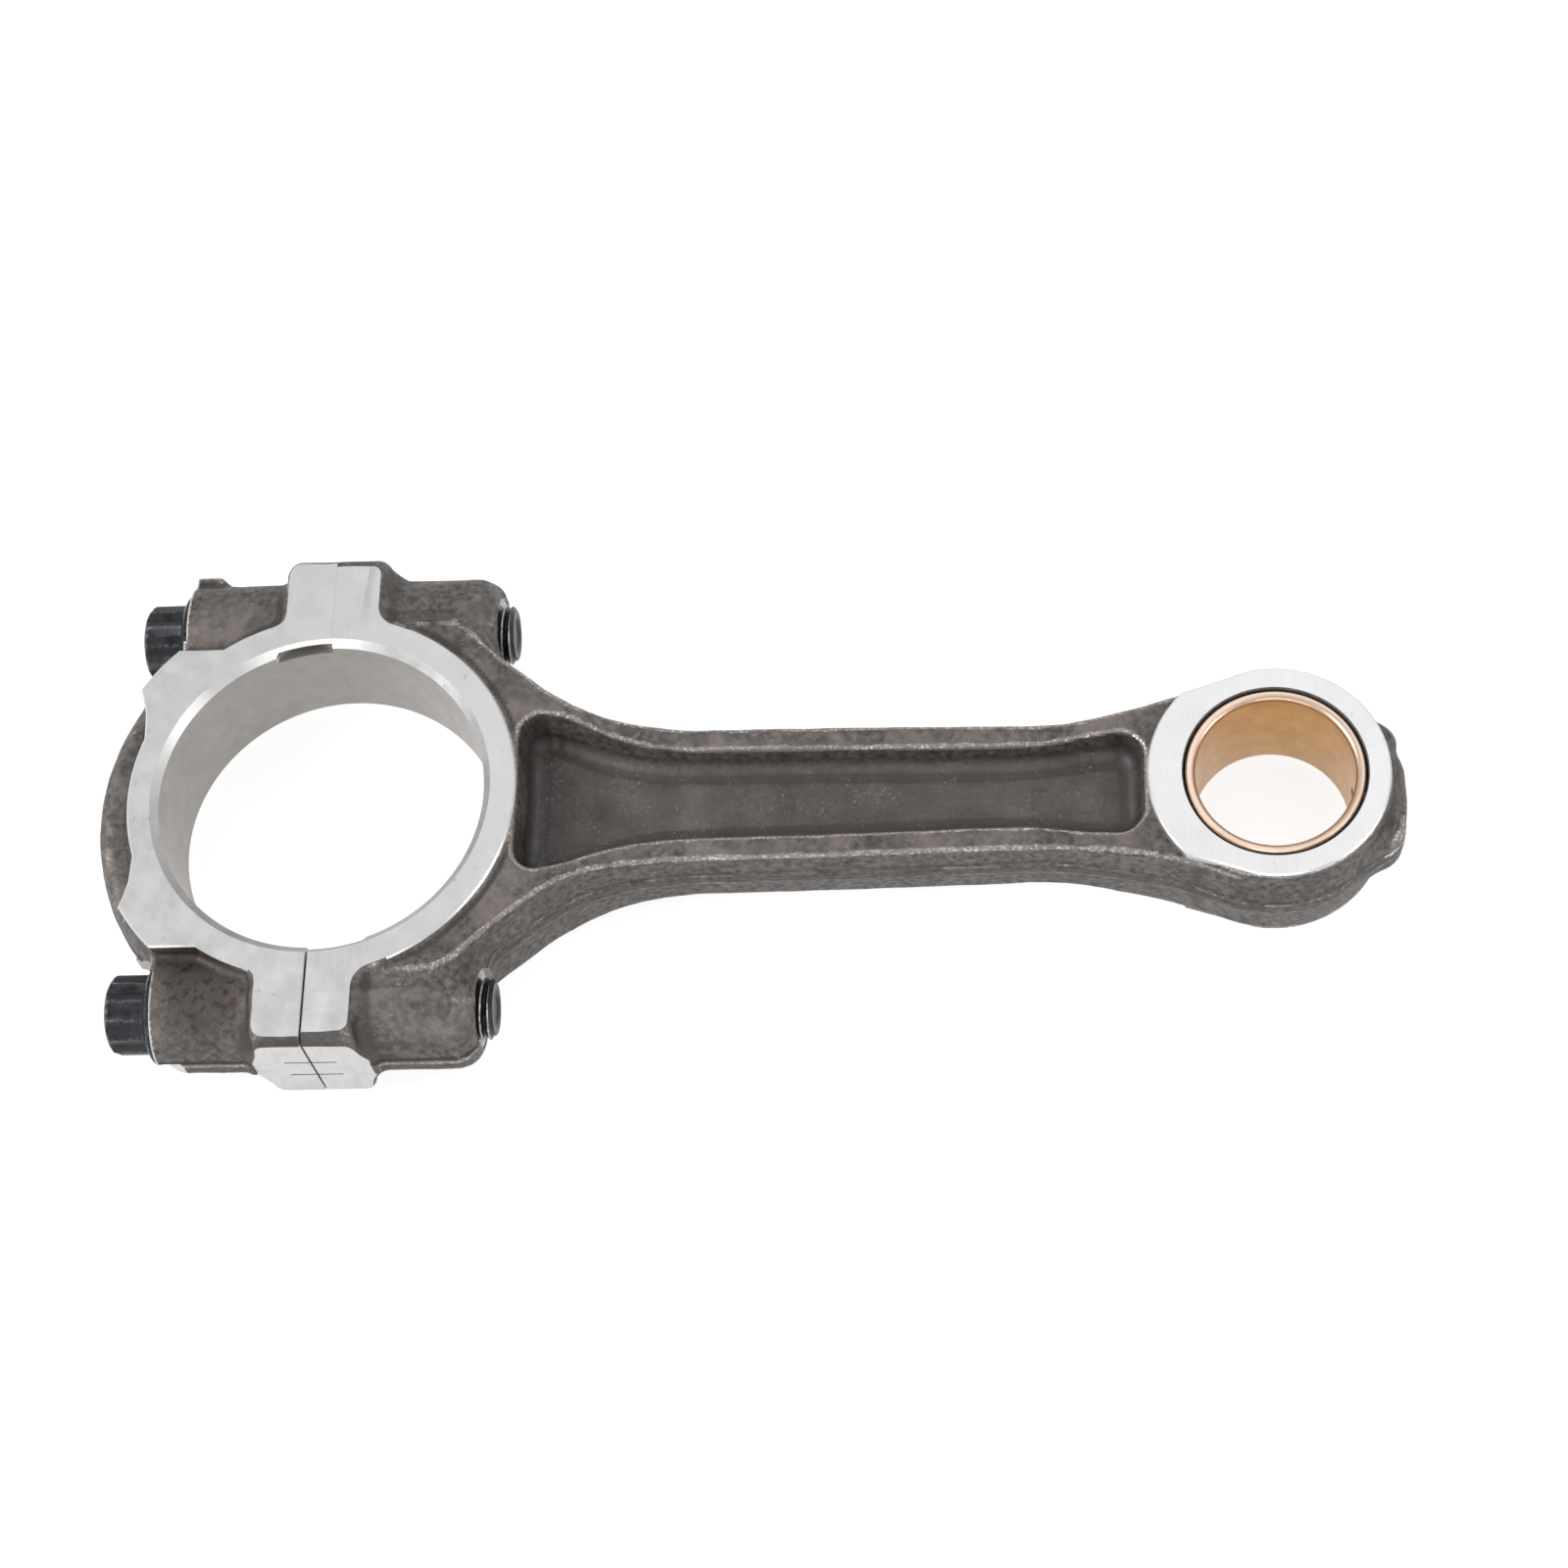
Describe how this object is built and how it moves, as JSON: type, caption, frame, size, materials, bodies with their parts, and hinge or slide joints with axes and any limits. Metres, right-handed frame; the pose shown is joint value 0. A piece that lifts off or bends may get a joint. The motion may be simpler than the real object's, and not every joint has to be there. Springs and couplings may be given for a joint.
{
  "type": "connecting rod",
  "caption": "Forged I-beam connecting rod with a split big end, a bolted bearing cap and a bronze-bushed small end, lying flat.",
  "frame": {"origin": "bottom centre of the bounding box, on the plane that the lower big-end thrust face lies on", "axes": "+X from the big end to the small end, +Y across the beam, +Z along both bores"},
  "size_m": [0.211, 0.0866, 0.0224],
  "materials": {
    "forged_steel": "as-forged dark scale, with ground faces and bored bores",
    "black_oxide": "oiled black oxide",
    "bush_bronze": "fine bored bronze",
    "dowel_steel": "ground"
  },
  "bodies": {
    "rod": {"rod_forging": "forged_steel", "small_end_bush": "bush_bronze", "ring_dowel_far": "dowel_steel", "ring_dowel_near": "dowel_steel"},
    "cap": {"bearing_cap": "forged_steel"},
    "far_bolt": {"bolt_far": "black_oxide"},
    "near_bolt": {"bolt_near": "black_oxide"}
  },
  "joints": [
    {"name": "cap_draw", "type": "slide", "parent": "rod", "child": "cap", "axis": [-1, 0, 0], "range_m": [0, 0.03]},
    {"name": "far_bolt_turn", "type": "hinge", "parent": "cap", "child": "far_bolt", "pos_m": [-0.0672, 0.0334, 0.0112], "axis": [-1, 0, 0], "range_deg": [0, 8641]},
    {"name": "near_bolt_turn", "type": "hinge", "parent": "cap", "child": "near_bolt", "pos_m": [-0.0672, -0.0334, 0.0112], "axis": [-1, 0, 0], "range_deg": [0, 8641]}
  ],
  "couplings": [
    {"joint": "far_bolt_turn", "follows": "cap_draw", "rad_per_m": 5026.5},
    {"joint": "near_bolt_turn", "follows": "cap_draw", "rad_per_m": 5026.5}
  ]
}
